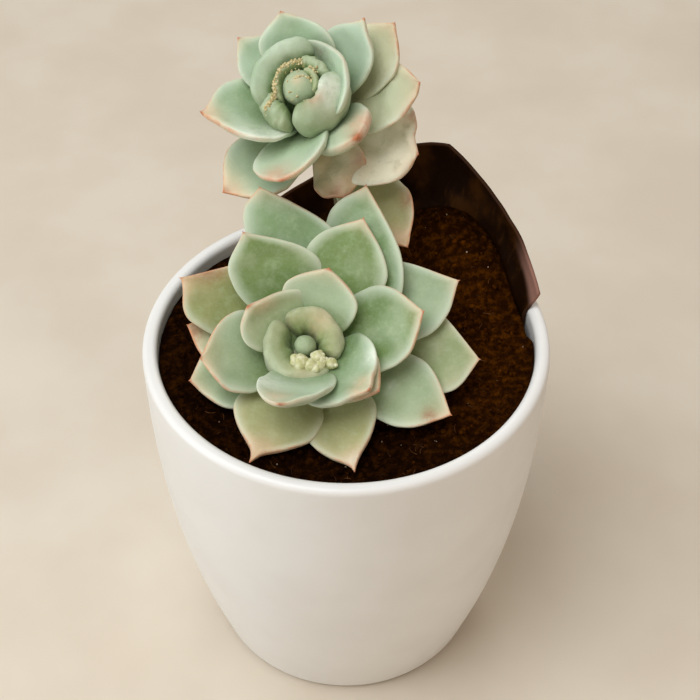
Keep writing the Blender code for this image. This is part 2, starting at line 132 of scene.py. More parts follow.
FRONT = Rosette(
    crown=(-11.5, -12.0, 123.0), lean_front=25, lean_left=0,
    core_top=7.0, core_foot=9.0, core_radius=4.5,
    leaves=[
        Leaf(265, 44, 32, 21, -3, 4.5, 0.1, 0.1, 0.3, cup=3, curl=30, point=0.9, wave=0.9,
             spots=(("pale", 0.6, 0.9, 5), ("peach", 0.85, 0.4, 4))),
        Leaf(138, 40, 23.5, 22.5, -3.5, -4.5, 0.4, 0.45, 0.4, cup=3.5, curl=30, wave=0.8,
             spots=(("peach", 0.86, 0.3, 3),)),
        Leaf(71, 40, 27, 22, -3, 0, 0.2, 0.25, 0.6, cup=3, curl=25),
        Leaf(318.5, 36, 30.5, 26, -3, 0.8, 0.35, 0.1, 0.5, curl=25, widest=0.38, wave=1.0,
             spots=(("peach", 0.84, -0.1, 3), ("peach", 0.86, 0.5, 2.5), ("pale", 0.7, -0.9, 3))),
        Leaf(326, 30, 30, 18, -1, 1.5, 0.3, 0.2, 0.7),
        Leaf(183, 26, 33, 25, 0, -4, 0.3, 0.3, 0.8),
        Leaf(107, 26, 40, 26, 0, -8, 0.75, 0.3, 0.4),
        Leaf(63, 26, 44, 25.5, 0.5, -1.5, 0.85, 0.25, 0.6),
        Leaf(13, 25, 38, 25.5, -1, 0, 0.6, 0.2, 0.7),
        Leaf(248, 18, 39.5, 25, 2.5, 1.2, 0.9, 0.8, 1.0, point=3.0, widest=0.5, age=0.25,
             spots=(("peach", 0.85, -0.2, 5),)),
        Leaf(298, 18, 41, 22, 4, 5, 0.8, 0.95, 0.8, point=2.2, widest=0.5, age=0.2,
             spots=(("peach", 0.88, 0.0, 4), ("pale", 0.9, 0.0, 2))),
        Leaf(340, 14, 47, 22, 3, 5, 0.3, 0.35, 0.8,
             spots=(("rust", 0.86, 0.55, 2.6), ("pale", 0.55, 0.1, 1.3))),
        Leaf(34, 17, 50, 27, 4, 8.3, 0.3, 0.2, 0.6),
        Leaf(9.5, 12, 50, 29.5, 5, 10.8, 0.45, 0.6, 0.5, point=1.2, widest=0.62),
        Leaf(51.5, 28, 53, 29, 5, -15.2, 0.55, 0.1, 0.6, point=1.3, widest=0.6),
        Leaf(82.5, 30, 50, 31, 5.5, -19.5, 0.45, 0.1, 0.6, point=0.9),
        Leaf(128.5, 19, 42, 32, 5, -15.5, 0.8, 0.95, 0.9, point=1.6,
             spots=(("rust", 0.9, 0.6, 4),)),
        Leaf(194, 14, 35.5, 22, 5, 0, 0.3, 0.3, 0.7),
        Leaf(164, 10, 37, 20, 6, 0, 0.2, 0.4, 1.0, spots=(("rust", 0.93, -0.5, 4),)),
        Leaf(118, 12, 32, 20, 7, 0, 0.5, 0.5, 0.6),
        Leaf(42, 10, 35, 20, 7, 0, 0.5, 0.5, 0.6),
    ],
    arcs=[Arc(135, -32, 7.0, 9.0, 4.1, 6.0), Arc(142, 318, 8.0, 8.0, 4.4, 6.0)],
    buds=[Bud(0, 0, 11.0, 2.9), Bud(307, 5.8, 13.0, 2.0), Bud(259, 6.5, 13.0, 2.5),
          Bud(282, 7.3, 13.0, 2.2), Bud(300, 8.0, 12.8, 1.8), Bud(319, 9.6, 12.5, 1.8)])

BACK = Rosette(
    crown=(-9.3, 38.3, 174.3), lean_front=30, lean_left=12,
    core_top=12.0, core_foot=28.0, core_radius=4.5,
    leaves=[
        Leaf(97, 38, 29, 21, 0, -3, 0.3, 0.05, 0.35, cup=3, spots=(("brown", 0.4, 0.75, 1.8),)),
        Leaf(25, 50, 21.5, 24, -1, 0, 0.25, 0.05, 0.1, cup=5, point=0.8,
             spots=(("brown", 0.72, -0.6, 2.9), ("brown", 0.62, -0.7, 2.0))),
        Leaf(137, 28, 31, 16, 3, 0, 0.35, 0.05, 0.5),
        Leaf(197, 28, 34, 27, 2, 4.5, 0.4, 0.1, 0.8, cup=4, roll=-20, point=1.7, widest=0.5,
             spots=(("pale", 0.65, -0.95, 7), ("pale", 0.42, -0.95, 7), ("peach", 0.93, 0.3, 4))),
        Leaf(219, 12, 37, 22, 11, 0, 0.25, 0.05, 1.0,
             spots=(("peach", 0.92, -0.3, 4), ("rust", 0.985, 0.0, 1.8))),
        Leaf(257, 30, 32, 24, 3, 0, 0.15, 0.15, 0.5, cup=3, roll=-25, point=0.9,
             spots=(("pink", 0.9, 0.5, 5), ("pink", 0.97, 0.0, 4))),
        Leaf(314, 40, 29, 18, 5, 0, 0.2, 0.2, 0.4, cup=1, point=0.8, thick=7,
             spots=(("pink", 0.85, -0.6, 5), ("rust", 0.97, 0.0, 2.0))),
        Leaf(46, 34, 32, 18, 4, -1, 0.1, 0.0, 0.4, point=2.0),
        Leaf(40, 24, 36, 20, 8, 0, 0.2, 0.3, 0.8, age=0.5, wave=1.0),
        Leaf(6, 20, 34, 22, 8, 0, 0.25, 0.2, 0.8, age=0.45, wave=1.8),
        Leaf(338, 10, 32, 29, 16, 1, 0.1, 0.6, 0.6, age=1.35, wave=2.4,
             spots=(("pink", 0.8, -0.9, 2.5),)),
        Leaf(290, 2, 25, 17, 13, 2, 0.3, 1.0, 0.9, point=0.7, widest=0.6, age=1.0, wave=2.8,
             spots=(("peach", 0.85, 0.0, 4), ("pink", 0.9, 0.6, 3), ("pink", 0.6, -0.9, 4))),
        Leaf(301, 0, 43, 20, 24, -1, 1.0, 1.0, 1.0, age=0.2, wave=2.8,
             spots=(("rust", 0.85, 0.7, 2.5), ("rust", 0.7, -0.9, 3.0), ("peach", 0.9, 0.0, 4.0))),
        Leaf(108, 14, 26, 19, 9, 0, 0.5, 0.4, 0.6, age=0.3),
        Leaf(172, 10, 27, 18, 12, 0, 0.5, 0.4, 0.6, age=0.5),
    ],
    arcs=[Arc(205, 72, 11.0, 12.0, 3.8, 6.5), Arc(248, 182, 10.3, 10.5, 3.4, 6.0),
          Arc(250, 387, 9.0, 12.0, 3.9, 6.5), Arc(95, 15, 7.0, 13.0, 2.3, 4.5)],
    buds=[Bud(180, 0.8, 13.5, 5.0)])

# Two thin leaves of the back heart: one inside the largest crescent, whose margin bears most of the
# crumbs, and a small one against the bud
INNER_ARCS = [Arc(218, 70, 6.9, 12.6, 1.5, 5.0), Arc(85, -40, 4.3, 13.6, 1.3, 4.4)]

# Looks of each front crescent: how much earlier it starts, its green and olive, where along it the
# peach patch lies and how strong it is, and how brown its root is
FrontArcLook = namedtuple("FrontArcLook", "earlier green warm peach_at peach root")
FRONT_ARC_LOOKS = [
    FrontArcLook(0, 0.5, 0.95, 0.5, 0.65, 0.55),
    FrontArcLook(12, 0.35, 0.7, 0.75, 0.4, 0.25),
]

# Looks of each back crescent, the inner ones last: its green and olive, where along it the pink
# patch lies and how strong it is, how strong the painted highlight on its top is, and how its crest
# slopes inwards
BackArcLook = namedtuple("BackArcLook", "green warm pink_at pink white tilt")
BACK_ARC_LOOKS = [BackArcLook(*look) for look in (
    (0.3, 0.1, 0.5, 0.0, 0.3, 0.5),
    (0.5, 0.35, 0.5, 0.0, 0.2, -0.4),
    (0.3, 0.3, 0.42, 0.8, 1.0, -0.6),
    (0.7, 0.3, 0.1, 0.2, 0.1, 0.2),
    (0.5, 0.6, 0.5, 0.0, 0.0, 0.0),
    (0.6, 0.6, 0.5, 0.0, 0.0, 0.0))]

# Dried margins of the back heart: (azimuth, radius) along each, its width and its number of crumbs
DRIED_MARGINS = [
    (((212, 12.4), (208, 9.5), (195, 7.4), (160, 7.0), (125, 7.0), (84, 7.0)), 0.9, 210),
    (((62, 5.6), (30, 5.4), (352, 5.2)), 0.6, 34),
    (((150, 1.6), (90, 1.4), (40, 2.4), (0, 3.3), (335, 4.0)), 0.3, 36),
]

# Stems
STEM_RADIUS = 4.2
FRONT_STEM = [(-11.0, -6.0, 92.0), (-11.2, -6.5, 104.0)]
BACK_STEM = [(4.0, 45.0, 92.0), (3.0, 45.5, 110.0), (0.5, 49.0, 127.0)]
STEM_LEAD = 6.0
STEM_INTO_CROWN = 5.0

# Camera, its lens worked out for a focal length of 1500 pixels in a picture of 700
CAMERA_TILT = 44.2
CAMERA_YAW = 0.14
CAMERA_PITCH = -0.54
CAMERA_DISTANCE = 442.0
SENSOR_WIDTH = 36.0
LENS = 1500 / 700 * SENSOR_WIDTH

# Lights: place and size in metres, power in watts, colour
Light = namedtuple("Light", "name place size power colour")
LIGHT_TARGET = (0.0, 0.0, 0.10)
LIGHTS = [
    Light("key", (-0.35, -0.25, 1.15), 0.9, 9.6, (0.96, 0.99, 1.0)),
    Light("side", (-1.0, -0.25, 0.35), 0.5, 3.4, (0.93, 0.97, 1.0)),
    Light("front", (0.15, -1.0, 0.55), 0.8, 0.9, (1.0, 0.97, 0.92)),
    Light("warm", (0.9, -0.6, 0.40), 0.4, 1.1, (1.0, 0.64, 0.38)),
    Light("rim", (0.1, 0.9, 0.7), 0.5, 2.0, (1.0, 0.98, 0.94)),
]

# The floor, in metres
FLOOR_HALF = 3.0
FLOOR_Z = -0.0002

# Skin colours
MINT = (0.48, 0.61, 0.46)
GREEN = (0.13, 0.24, 0.075)
CREAM = (0.58, 0.52, 0.34)
# Root green, partly painted shade where the leaves crowd together
ROOT_GREEN_AND_SHADE = (0.085, 0.17, 0.025)
OLIVE = (0.38, 0.36, 0.14)
BEIGE = (0.80, 0.69, 0.47)
BLEACHED = (1.0, 0.95, 0.76)
DRY_PATCH = (0.55, 0.38, 0.22)
DRY_ROOT = (0.36, 0.34, 0.14)
UNDERSIDE = (0.50, 0.56, 0.40)
PALE_RIM_AND_HIGHLIGHT = (0.70, 0.74, 0.60)
PEACH = (0.76, 0.51, 0.31)
CORAL = (0.66, 0.26, 0.12)
RED_POINT = (0.50, 0.14, 0.05)
MOTTLE = (0.52, 0.62, 0.40)
BLOOM = (0.66, 0.74, 0.62)

# Each kind of spot on a leaf: its colour and strength
SPOT_KINDS = {
    # The pale kind also paints the highlights on the back heart's crescents.
    "pale": ((0.86, 0.91, 0.80), 0.75),
    "peach": ((0.72, 0.50, 0.33), 0.6),
    "pink": ((0.66, 0.30, 0.20), 0.62),
    "rust": ((0.33, 0.12, 0.05), 0.8),
    "brown": ((0.10, 0.085, 0.04), 0.8),
}

# Skin values of a shell that gives none of its own
YOUNG_SKIN = dict(upper=0.6, blush=0.0, age=0.0, **dict.fromkeys(SPOT_KINDS, 0.0))

# Plain materials of two colours: the noise (size, detail, roughness) between them, where it turns
# from dark to bright, the surface's roughness and shine, and its bumps (size, detail, depth)
Mixed = namedtuple("Mixed", "shade low high dark bright rough specular bumps")
MIXED = {
    "root_fibres": Mixed((3.0, 3.0, 0.5), 0.3, 0.7, (0.02, 0.007, 0.002), (0.12, 0.045, 0.014),
                         0.9, 0.1, (0.4, 2.0, 0.1)),
    "pale_grit": Mixed((2.5, 2.0, 0.5), 0.35, 0.65, (0.14, 0.065, 0.03), (0.45, 0.36, 0.26),
                       0.9, 0.2, (0.5, 3.0, 0.15)),
    "young_lumps": Mixed((1.6, 2.0, 0.5), 0.35, 0.7, (0.50, 0.50, 0.24), (0.76, 0.75, 0.52),
                         0.5, 0.3, (0.6, 2.0, 0.05)),
    "dried_margin": Mixed((0.9, 3.0, 0.6), 0.35, 0.7, (0.46, 0.38, 0.17), (0.80, 0.70, 0.43),
                          0.8, 0.25, (0.4, 3.0, 0.15)),
    "pale_floor": Mixed((60.0, 3.0, 0.5), 0.3, 0.7, (0.66, 0.58, 0.48), (0.71, 0.64, 0.54),
                        0.85, 0.2, None),
}


# Small helpers

def smooth(t):
    t = min(max(t, 0.0), 1.0)
    return t * t * (3 - 2 * t)


def signed_power(value, power):
    return np.sign(value) * np.abs(value) ** power


def hump(value, middle, spread):
    """1 at the middle, falling smoothly to 0 within about two spreads."""
    return np.exp(-((value - middle) / spread) ** 2)


def wander(place, size, seed, depth=2):
    """Smooth noise about -1 to 1, with features of about that size."""
    shift = Vector((seed * 7.3, seed * 3.1, seed * 5.7))
    return noise.fractal(Vector(place) / size + shift, 1.0, 2.0, depth)


def add_object(name, data):
    made = bpy.data.objects.new(name, data)
    bpy.context.scene.collection.objects.link(made)
    return made


class Pile:
    """Collects shells, each with its values at the points, into one mesh."""

    def __init__(self):
        self.points, self.faces, self.values = [], [], {}
        self.count = 0

    def add(self, points, faces, **values):
        points = np.asarray(points, float)
        self.points.append(points)
        self.faces += [tuple(corner + self.count for corner in face) for face in faces]
        for key, value in values.items():
            value = np.broadcast_to(np.asarray(value, float), (len(points),))
            self.values.setdefault(key, []).append(value)
        self.count += len(points)

    def add_skin(self, points, faces, **values):
        self.add(points, faces, **{**YOUNG_SKIN, **values})

    def build(self, name, node, look, sharp=None):
        """Make the piece, give it its material, hang it on the root body and hide the solid that it
        stands for.
        """
        mesh = bpy.data.meshes.new(name)
        mesh.from_pydata((np.concatenate(self.points) * MM).tolist(), [], self.faces)
        for key, parts in self.values.items():
            attribute = mesh.attributes.new(key, "FLOAT", "POINT")
            attribute.data.foreach_set("value", np.concatenate(parts))
        bm = bmesh.new()
        bm.from_mesh(mesh)
        bmesh.ops.recalc_face_normals(bm, faces=bm.faces)
        bm.to_mesh(mesh)
        bm.free()
        mesh.materials.append(look)
        mesh.shade_smooth()
        if sharp is not None:
            mesh.set_sharp_from_angle(angle=radians(sharp))
        piece = add_object(name, mesh)
        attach(piece, "root")
        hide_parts(node)
        return piece


def ball_faces(rings, sides):
    """Faces of a closed shell: a first pole, that many rings, a last pole."""
    faces = [(0, 1 + (s + 1) % sides, 1 + s) for s in range(sides)]
    for ring in range(rings - 1):
        low, high = 1 + ring * sides, 1 + (ring + 1) * sides
        faces += [(low + s, low + (s + 1) % sides, high + (s + 1) % sides, high + s)
                  for s in range(sides)]
    low, last = 1 + (rings - 1) * sides, 1 + rings * sides
    return faces + [(low + s, low + (s + 1) % sides, last) for s in range(sides)]


def ball_grid(rings, sides):
    """Along (0 to 1) and around of each point of such a shell, its rings closer at both ends."""
    steps = (1 - np.cos(pi * np.arange(1, rings + 1) / (rings + 1))) / 2
    turns = 2 * pi * np.arange(sides) / sides
    along = np.concatenate([[0.0], np.repeat(steps, sides), [1.0]])
    around = np.concatenate([[0.0], np.tile(turns, rings), [0.0]])
    return along, around


def icosphere(subdivisions):
    """Points and faces of a ball of radius 1."""
    bm = bmesh.new()
    bmesh.ops.create_icosphere(bm, subdivisions=subdivisions, radius=1.0)
    points = np.array([v.co for v in bm.verts])
    faces = [tuple(v.index for v in f.verts) for f in bm.faces]
    bm.free()
    return points, faces


def rosette_axes(rosette):
    axis = Vector((-sin(radians(rosette.lean_left)), -sin(radians(rosette.lean_front)), 0))
    axis.z = sqrt(1 - axis.length_squared)
    right = (Vector((1, 0, 0)) - axis * axis.x).normalized()
    return axis, right, axis.cross(right)


def rosette_turn(rosette):
    axis, right, back = rosette_axes(rosette)
    return Matrix((right, back, axis)).transposed()


def points_on(rosette, turns, radius, height):
    """Like place_on, for arrays and with the turns round the axis instead of azimuths."""
    axis, right, back = (np.array(v) for v in rosette_axes(rosette))
    outward = right * np.cos(turns)[:, None] + back * np.sin(turns)[:, None]
    return np.array(rosette.crown) + axis * height[:, None] + outward * radius[:, None]


def place_on(rosette, azimuth, radius, height):
    axis, right, back = rosette_axes(rosette)
    a = radians(azimuth)
    return Vector(rosette.crown) + axis * height + (right * cos(a) + back * sin(a)) * radius


# Materials

class Tree:
    """A material's node tree, written as sums of small steps."""

    def __init__(self, name):
        self.material = bpy.data.materials.new(name)
        self.material.use_nodes = True
        self.tree = self.material.node_tree
        self.shader = self.tree.nodes["Principled BSDF"]
        self.place = self.make("ShaderNodeTexCoord", {}, "Object")

    def put(self, socket, value):
        if isinstance(value, bpy.types.NodeSocket):
            self.tree.links.new(value, socket)
        elif isinstance(value, tuple) and len(value) == 3 and socket.type == "RGBA":
            socket.default_value = (*value, 1.0)
        else:
            socket.default_value = value

    def make(self, kind, inputs, output=0, **settings):
        """An output of a new node, whose inputs are given by name or number."""
        made = self.tree.nodes.new(kind)
        for key, value in settings.items():
            setattr(made, key, value)
        for key, value in inputs.items():
            self.put(made.inputs[key], value)
        return made.outputs[output]

    def math(self, kind, *values):
        return self.make("ShaderNodeMath", dict(enumerate(values)), operation=kind)

    def times(self, *values):
        total = values[0]
        for value in values[1:]:
            total = self.math("MULTIPLY", total, value)
        return total

    def step(self, value, low, high, bottom=0.0, top=1.0):
        """Smooth step of the value from low to high; low may lie above high."""
        if low > high:
            low, high, bottom, top = high, low, top, bottom
        inputs = dict(enumerate((value, low, high, bottom, top)))
        return self.make("ShaderNodeMapRange", inputs, interpolation_type="SMOOTHSTEP")

    def mix(self, share, first, second):
        return self.make("ShaderNodeMix", {0: share, 6: first, 7: second}, 2, data_type="RGBA")

    def paint(self, colour, *layers):
        """The colour with layers of (share, colour) laid over it, the last on top."""
        for share, layer in layers:
            colour = self.mix(share, colour, layer)
        return colour

    def noise(self, size, detail=2.0, rough=0.5, stretch=None):
        """Noise from 0 to 1 with features of about that size."""
        place = self.place
        if stretch is not None:
            place = self.make("ShaderNodeMapping", {"Vector": place, "Scale": stretch})
        inputs = {"Vector": place, "Scale": 1 / (size * MM), "Detail": detail, "Roughness": rough}
        return self.make("ShaderNodeTexNoise", inputs, "Fac")

    def cells(self, size):
        """Distance to the middle of the nearest cell."""
        inputs = {"Vector": self.place, "Scale": 1 / (size * MM)}
        return self.make("ShaderNodeTexVoronoi", inputs, "Distance")

    def value(self, name):
        return self.make("ShaderNodeAttribute", {}, "Fac", attribute_name=name)

    def bump(self, *layers):
        """Layers of (height from 0 to 1, depth), finest last."""
        normal = {}
        for height, depth in layers:
            inputs = {"Strength": 1.0, "Distance": depth * MM, "Height": height, **normal}
            normal = {"Normal": self.make("ShaderNodeBump", inputs)}
        self.put(self.shader.inputs["Normal"], normal["Normal"])

    def surface(self, colour, rough, specular, **more):
        values = dict(Base_Color=colour, Roughness=rough, Specular_IOR_Level=specular,
                      Metallic=0.0, **more)
        for key, value in values.items():
            self.put(self.shader.inputs[key.replace("_", " ")], value)


def leaf_material(name, strength):
    """Powdery skin: mint over green, olive at the root, beige with age, cream rim, coral tip."""
    t = Tree(name)
    along, rim, tip, upper = (t.value(key) for key in ("along", "rim", "tip", "upper"))
    green, warm, blush, age = (t.value(key) for key in ("green", "warm", "blush", "age"))
    broad = t.noise(9.0, 2.0)
    patch = t.noise(3.2, 3.0, 0.6)
    streak = t.noise(1.6, 3.0, 0.6)
    middle = t.step(rim, 0.3, 6.0)
    inside = t.times(green, strength, t.step(broad, 0.30, 0.70, 0.66, 1.12),
                     t.step(middle, 0.0, 1.0, 0.25, 1.1))
    cream = t.times(warm, t.step(broad, 0.62, 0.38), t.step(along, 0.3, 0.8),
                    t.step(middle, 1.0, 0.2, 0.35, 1.0), 0.75)
    # Partly painted shade: darker green towards each leaf's root, where the leaves crowd into the
    # crown, over the skin's own deeper green there
    root = t.times(t.step(along, 0.72, 0.28), t.step(patch, 0.3, 0.7, 0.7, 1.0), 0.9)
    reach = t.math("DIVIDE", tip, t.math("MAXIMUM", blush, 0.2))
    peach = t.times(blush, t.step(reach, 13.0, 0.5), t.step(rim, 5.0, 0.0, 0.45, 1.0), 0.75)
    line = t.times(blush, t.step(rim, 0.85, 0.1), t.step(reach, 24.0, 4.0),
                   t.step(patch, 0.35, 0.65, 0.2, 1.0), 0.9)
    spots = [(t.times(t.value(kind), t.step(streak, 0.25, 0.6, 0.55, 1.0), share), shade)
             for kind, (shade, share) in SPOT_KINDS.items()]
    colour = t.paint(
        MINT,
        (inside, GREEN),
        (cream, CREAM),
        (root, ROOT_GREEN_AND_SHADE),
        (t.times(warm, t.step(along, 0.1, 0.7, 0.3, 0.7)), OLIVE),
        (t.times(age, t.step(broad, 0.2, 0.8, 0.7, 1.0), 0.95), BEIGE),
        (t.step(age, 1.0, 1.4), BLEACHED),
        (t.times(age, t.step(patch, 0.5, 0.8), 0.25), DRY_PATCH),
        (t.times(age, t.step(along, 0.6, 0.15), 0.75), DRY_ROOT),
        (t.times(t.step(upper, 0.1, -0.5), 0.35), UNDERSIDE),
        # Pale rim: partly the paler margin, partly a painted highlight along it
        (t.times(t.step(rim, 2.6, 0.1), t.step(along, 0.2, 0.6), 0.5), PALE_RIM_AND_HIGHLIGHT),
        (peach, PEACH),
        *spots,
        (line, CORAL),
        (t.times(t.step(tip, 1.3, 0.3), t.step(blush, 0.0, 0.4), 0.85), RED_POINT),
        (t.times(t.step(patch, 0.48, 0.72), t.step(middle, 0.0, 1.0, 0.2, 1.0), 0.2), MOTTLE),
        (t.step(t.noise(0.9, 4.0, 0.7), 0.4, 0.8, 0.0, 0.12), BLOOM))
    t.surface(colour, t.step(patch, 0.2, 0.8, 0.48, 0.60), 0.28,
              Sheen_Weight=0.04, Sheen_Roughness=0.5, Subsurface_Weight=0.10,
              Subsurface_Radius=(0.9, 1.2, 0.5), Subsurface_Scale=1.0 * MM)
    wrinkle = t.times(t.step(age, 0.2, 1.0, 0.12, 1.0), t.noise(2.4, 3.0, 0.6))
    t.bump((wrinkle, 0.45), (t.noise(1.1, 2.0), 0.05), (t.noise(0.35, 2.0), 0.02))
    return t.material


def pot_material():
    t = Tree("satin_white_glaze")
    cloud, speck = t.step(t.noise(22.0, 2.0), 0.3, 0.7), t.step(t.cells(2.6), 0.10, 0.04)
    colour = t.paint((0.80, 0.79, 0.775), (cloud, (0.83, 0.825, 0.815)),
                     (t.times(speck, 0.05), (0.45, 0.40, 0.34)))
    t.surface(colour, t.step(t.noise(4.0, 3.0), 0.3, 0.7, 0.36, 0.44), 0.45,
              Coat_Weight=0.15, Coat_Roughness=0.3)
    t.bump((t.noise(9.0, 2.0), 0.10), (t.noise(0.8, 2.0), 0.008))
    return t.material


def soil_material(name, light=1.0):
    """Damp soil with painted light, lighter and redder towards the back right, and painted shade at
    the front left and near the wall; a light above 1 brightens it.
    """
    t = Tree(name)

    def lit(*shade):
        return tuple(value * light for value in shade)

    clump = t.noise(2.2, 5.0, 0.65)
    fine = t.noise(0.5, 4.0, 0.7)
    x, y = (t.make("ShaderNodeSeparateXYZ", {0: t.place}, axis) for axis in "XY")
    radius = t.math("SQRT", t.math("ADD", t.times(x, x), t.times(y, y)))
    # Painted light and shade: the lit share is 1 towards the back right and falls to 0 at the front
    # left and near the wall, mixing the shaded soil colours into the lit ones.
    lit_share = t.times(t.step(t.math("ADD", x, t.times(y, 0.8)), -30 * MM, 40 * MM),
                  t.step(radius, 64 * MM, 46 * MM))
    low = t.mix(lit_share, lit(0.007, 0.002, 0.0004), lit(0.020, 0.005, 0.0004))
    high = t.mix(lit_share, lit(0.040, 0.012, 0.0012), lit(0.105, 0.030, 0.0010))
    colour = t.paint(low, (t.step(clump, 0.4, 0.75), high),
                     (t.times(t.step(fine, 0.6, 0.8), 0.4), (0.14, 0.045, 0.006)))
    t.surface(colour, t.step(fine, 0.2, 0.8, 0.8, 0.98), 0.01)
    t.bump((clump, 1.4), (fine, 0.5))
    return t.material


def liner_material():
    t = Tree("brown_film")
    cloud = t.noise(14.0, 3.0, 0.6)
    streak = t.noise(5.0, 3.0, 0.6, stretch=(1.0, 1.0, 0.25))
    colour = t.paint(
        (0.010, 0.003, 0.0004),
        (t.step(cloud, 0.4, 0.8), (0.055, 0.018, 0.002)),
        (t.times(t.step(streak, 0.55, 0.85), 0.35), (0.12, 0.045, 0.008)),
        # Painted highlight: lighter brown along the film's top edge and its ends
        (t.times(t.step(t.value("edge"), 0.8, 0.2), 0.5), (0.07, 0.03, 0.015)),
        # Painted highlight: a light purple-brown band along the top of the film's right end
        (t.times(t.value("band"), 0.9), (0.33, 0.17, 0.13)))
    t.surface(colour, t.step(cloud, 0.2, 0.8, 0.42, 0.65), 0.05)
    t.bump((cloud, 0.5), (t.noise(1.4, 3.0), 0.05))
    return t.material


def stem_material():
    t = Tree("woody_stem")
    bark = t.noise(1.8, 5.0, 0.65, stretch=(1.0, 1.0, 0.4))
    colour = t.paint((0.09, 0.065, 0.03), (t.step(bark, 0.3, 0.7), (0.26, 0.24, 0.12)),
                     (t.times(t.value("scar"), 0.6), (0.27, 0.21, 0.12)))
    t.surface(colour, t.step(bark, 0.2, 0.8, 0.7, 0.9), 0.25)
    t.bump((bark, 0.5), (t.noise(0.4, 3.0), 0.08))
    return t.material


def mixed_material(name, **more):
    look = MIXED[name]
    t = Tree(name)
    colour = t.mix(t.step(t.noise(*look.shade), look.low, look.high), look.dark, look.bright)
    t.surface(colour, look.rough, look.specular, **more)
    if look.bumps is not None:
        size, detail, depth = look.bumps
        t.bump((t.noise(size, detail), depth))
    return t.material


# Leaves

def leaf_half_width(along, leaf):
    """Share of the half width, as in the solid, with arrays."""
    opening = np.minimum(along / leaf.widest, 1.0)
    low = ROOT_WIDTH + (1 - ROOT_WIDTH) * np.sin(0.5 * pi * opening) ** 1.4
    past = np.clip((along - leaf.widest) / (1 - leaf.widest), 0.0, 1.0)
    return np.where(along < leaf.widest, low, (1 - past ** 2.8) ** leaf.point)


def leaf_section(along, leaf):
    """Half width and half thickness at each point, both 0 at the two poles."""
    body = np.minimum(along / BODY_END, 1.0)
    half = leaf_half_width(body, leaf)
    at_tip = leaf_half_width(np.full(1, TIP_FROM), leaf)[0]
    straight = at_tip * np.clip((1 - body) / (1 - TIP_FROM), 0.0, 1.0)
    blend = TIP_STRAIGHT * straight + (1 - TIP_STRAIGHT) * half
    half = np.where(body > TIP_FROM, blend, half) * leaf.width / 2
    spike = SPIKE_RADIUS * np.clip((1 - along) / SPIKE_LENGTH, 0.0, 1.0) ** 0.8
    half = np.sqrt(half ** 2 + np.where(along > 0.5, spike, 0.0) ** 2)
    full = (0.7 + 0.3 * np.sin(pi * along)) * leaf.thick / 2
    thick = full * np.sqrt(np.maximum(0.0, 1 - body ** 5))
    thick = np.minimum(np.sqrt(thick ** 2 + 0.2 * spike ** 2), 0.25 + 0.75 * half)
    closed = (along <= 0) | (along >= 1)
    half[closed] = 0
    thick[closed] = 0
    return half, thick


def leaf_unevenness(leaf, along, half, side, face, seed):
    """How far each point rises from the smooth leaf, and how much wider the leaf is there."""
    fade = np.clip(along / 0.3, 0, 1) * np.clip((1 - along) / 0.08, 0, 1)
    across = side * half / max(half.max(), 1e-6)
    waves = np.array([wander((s * leaf.width / 2, a * leaf.length, 0.0), WAVE_SIZE, seed)
                      for s, a in zip(across, along)])
    dents = np.array([wander((s * 10, a * leaf.length, 30.0 + (f > 0) * 9), DENT_SIZE, seed + 50)
                      for s, a, f in zip(side, along, face)])
    margins = np.array([wander((0, a * leaf.length, 60.0 + (s > 0) * 20), MARGIN_SIZE, seed)
                        for s, a in zip(side, along)])
    raised = leaf.wave * (1.3 * waves + 0.35 * dents * np.abs(face)) * fade
    return raised, 1 + 0.03 * margins * fade * (0.5 + leaf.wave)


def leaf_shell(leaf, rosette, seed):
    """Points and skin values of a thick leaf with a rounded margin and a small sharp tip."""
    along, around = ball_grid(LEAF_RINGS, LEAF_SIDES)
    half, thick = leaf_section(along, leaf)
    side = signed_power(np.cos(around), 2 / SECTION_POWER)
    face = signed_power(np.sin(around), 2 / SECTION_POWER)
    raised, wider = leaf_unevenness(leaf, along, half, side, face, seed)
    x = half * side
    z = thick * face * np.where(face > 0, UPPER_SHARE, LOWER_SHARE)
    z = z + leaf.cup * (2 * x / leaf.width) ** 2 + raised
    x = x * wider
    roll = radians(leaf.roll)
    x, z = x * cos(roll) - z * sin(roll), x * sin(roll) + z * cos(roll)
    rise, curl = radians(leaf.rise), radians(leaf.curl)
    blade = leaf.length - ROOT_START
    heading = rise + curl * (along - 0.5)
    start = rise - curl * 0.5
    out = (np.sin(heading) - sin(start)) / curl * blade
    up = (cos(start) - np.cos(heading)) / curl * blade
    lean = leaf.skew * np.maximum(0.0, (along - 0.3) / 0.7) ** 2
    local = np.stack([x + lean, ROOT_START * cos(rise) + out - z * np.sin(heading),
                      ROOT_START * sin(rise) + up + z * np.cos(heading)], -1)
    axis, right, back = rosette_axes(rosette)
    azimuth = radians(leaf.azimuth)
    outward = right * cos(azimuth) + back * sin(azimuth)
    across = outward.cross(axis)
    root = np.array(Vector(rosette.crown) - axis * leaf.drop)
    points = root + local @ np.array((across, outward, axis))
    values = dict(along=along, rim=half * (1 - np.abs(side)), tip=(1 - along) * leaf.length,
                  upper=face, green=leaf.green, warm=leaf.warm, blush=leaf.blush, age=leaf.age)
    for kind, spot_along, spot_side, size in leaf.spots:
        spot_x = spot_side * np.interp(spot_along, along, half)
        away = np.hypot((along - spot_along) * leaf.length, side * half - spot_x)
        values[kind] = np.maximum(values.get(kind, 0.0), hump(away, 0.0, size))
    return points, values


def make_leaves(name, rosette, node, look, seed):
    pile = Pile()
    faces = ball_faces(LEAF_RINGS, LEAF_SIDES)
    for number, leaf in enumerate(rosette.leaves):
        points, values = leaf_shell(leaf, rosette, seed + number)
        pile.add_skin(points, faces, **values)
    return pile.build(name, node, look)


